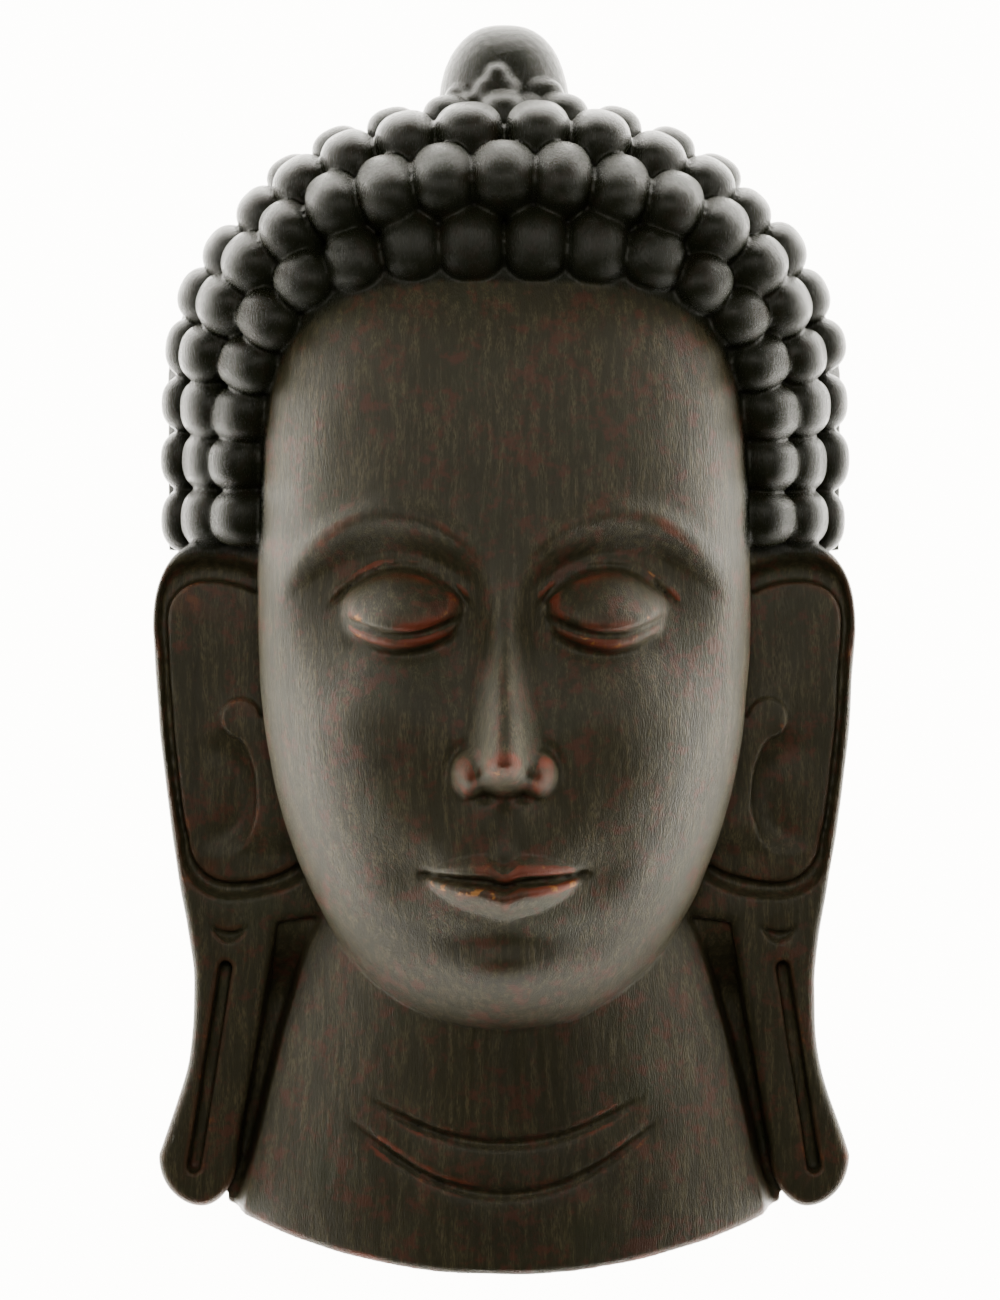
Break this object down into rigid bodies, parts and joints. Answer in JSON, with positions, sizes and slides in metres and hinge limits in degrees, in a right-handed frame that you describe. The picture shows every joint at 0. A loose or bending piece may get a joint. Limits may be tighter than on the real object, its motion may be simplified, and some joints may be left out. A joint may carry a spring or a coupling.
{
  "type": "wooden mask",
  "caption": "Carved wooden wall mask of a calm head with rows of round curls, a topknot, long pierced-style ear lobes and a short neck, hollowed out from behind.",
  "frame": {"origin": "middle of the mask's bounding box in the plane of its flat back, on which it lies", "axes": "+X to the viewer's right, +Y to the top of the head, +Z out of the face; the flat back rim is at z = 0"},
  "size_m": [0.3386, 0.6001, 0.1477],
  "materials": {
    "wood": "dark brown-black stain, rubbed to red-brown on the high edges, dull wax sheen over open vertical grain"
  },
  "bodies": {
    "root": {"mask": "wood"}
  },
  "joints": []
}
